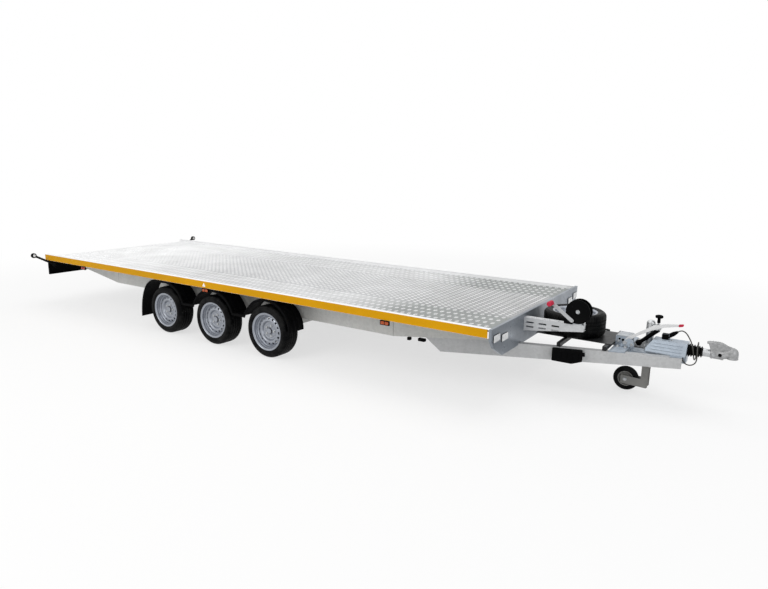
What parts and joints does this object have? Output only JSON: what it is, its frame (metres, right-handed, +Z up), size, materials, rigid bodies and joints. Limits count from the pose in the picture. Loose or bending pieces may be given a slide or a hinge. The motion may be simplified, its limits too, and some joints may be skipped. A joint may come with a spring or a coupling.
{
  "type": "triple-axle car hauler trailer",
  "caption": "Low flat platform trailer for cars: chequer floor, V drawbar with overrun coupling, winch, spare wheel and jockey wheel.",
  "frame": {"origin": "on the ground, midway between the deck's rear edge and the coupling's tip, on the middle line", "axes": "+X forward to the coupling, +Y to the trailer's left, +Z up"},
  "size_m": [7.601, 2.4898, 0.807],
  "materials": {
    "chequer_floor": "raised chequer pattern",
    "rail_white": "satin, yellow reflective tape outside",
    "galvanised": "hot-dip galvanised",
    "black_moulding": "grained",
    "clear_lens": "ribbed lens",
    "red_lens": "ribbed lens",
    "amber_lens": "ribbed lens",
    "black_rubber": "matte",
    "zinc_steel": "zinc plated",
    "tyre": "matte",
    "wheel_silver": "silver paint",
    "black_paint": "satin black",
    "cast_silver": "zinc plated casting",
    "cast_dark": "dark casting",
    "grey_paint": "satin grey"
  },
  "bodies": {
    "chassis": {"deck_floor_middle": "chequer_floor", "deck_lanes": "chequer_floor", "side_rail_right": "rail_white", "side_rail_left": "rail_white", "cross_beams": "galvanised", "main_beam_right": "galvanised", "main_beam_left": "galvanised", "drawbar_beam_right": "galvanised", "drawbar_beam_left": "galvanised", "axle_rear": "galvanised", "axle_middle": "galvanised", "axle_front": "galvanised", "mudguard_right": "black_moulding", "mudguard_left": "black_moulding", "front_end_plate": "galvanised", "front_lamps": "clear_lens", "rear_panel": "black_moulding", "tail_lamps": "red_lens", "outline_lamps": "black_rubber", "side_markers": "amber_lens", "winch_support": "galvanised", "winch_frame": "galvanised", "winch_drum": "zinc_steel", "winch_covers": "black_moulding", "winch_crank": "zinc_steel", "spare_tyre": "tyre", "spare_rim": "wheel_silver", "spare_carrier": "black_paint", "overrun_housing": "galvanised", "coupling_shaft": "zinc_steel", "bellows": "black_rubber", "coupling_head": "cast_silver", "handbrake_lever": "zinc_steel", "jockey_tube": "zinc_steel", "jockey_crank": "zinc_steel", "wheel_chocks": "black_moulding", "plug": "black_moulding", "lead": "black_rubber"},
    "wheel_rear_right": {"tyre_rear_right": "tyre", "rim_rear_right": "wheel_silver", "hub_drum_rear_right": "cast_dark"},
    "wheel_rear_left": {"tyre_rear_left": "tyre", "rim_rear_left": "wheel_silver", "hub_drum_rear_left": "cast_dark"},
    "wheel_middle_right": {"tyre_middle_right": "tyre", "rim_middle_right": "wheel_silver", "hub_drum_middle_right": "cast_dark"},
    "wheel_middle_left": {"tyre_middle_left": "tyre", "rim_middle_left": "wheel_silver", "hub_drum_middle_left": "cast_dark"},
    "wheel_front_right": {"tyre_front_right": "tyre", "rim_front_right": "wheel_silver", "hub_drum_front_right": "cast_dark"},
    "wheel_front_left": {"tyre_front_left": "tyre", "rim_front_left": "wheel_silver", "hub_drum_front_left": "cast_dark"},
    "jockey_leg": {"jockey_leg": "zinc_steel"},
    "jockey_fork": {"jockey_fork": "grey_paint"},
    "jockey_wheel": {"jockey_tyre": "tyre", "jockey_rim": "grey_paint"}
  },
  "joints": [
    {"name": "wheel_rear_right_spin", "type": "hinge", "parent": "chassis", "child": "wheel_rear_right", "pos_m": [-1.4525, -0.955, 0.252], "axis": [0, 1, 0], "continuous": true},
    {"name": "wheel_rear_left_spin", "type": "hinge", "parent": "chassis", "child": "wheel_rear_left", "pos_m": [-1.4525, 0.955, 0.252], "axis": [0, 1, 0], "continuous": true},
    {"name": "wheel_middle_right_spin", "type": "hinge", "parent": "chassis", "child": "wheel_middle_right", "pos_m": [-0.7135, -0.955, 0.252], "axis": [0, 1, 0], "continuous": true},
    {"name": "wheel_middle_left_spin", "type": "hinge", "parent": "chassis", "child": "wheel_middle_left", "pos_m": [-0.7135, 0.955, 0.252], "axis": [0, 1, 0], "continuous": true},
    {"name": "wheel_front_right_spin", "type": "hinge", "parent": "chassis", "child": "wheel_front_right", "pos_m": [0.0255, -0.955, 0.252], "axis": [0, 1, 0], "continuous": true},
    {"name": "wheel_front_left_spin", "type": "hinge", "parent": "chassis", "child": "wheel_front_left", "pos_m": [0.0255, 0.955, 0.252], "axis": [0, 1, 0], "continuous": true},
    {"name": "jockey_slide", "type": "slide", "parent": "chassis", "child": "jockey_leg", "axis": [0, 0, 1], "range_m": [0, 0.1]},
    {"name": "jockey_swivel", "type": "hinge", "parent": "jockey_leg", "child": "jockey_fork", "pos_m": [3.165, 0.095, 0.24], "axis": [0, 0, 1], "continuous": true},
    {"name": "jockey_wheel_spin", "type": "hinge", "parent": "jockey_fork", "child": "jockey_wheel", "pos_m": [3.016, 0.095, 0.1], "axis": [0, 1, 0], "continuous": true}
  ]
}
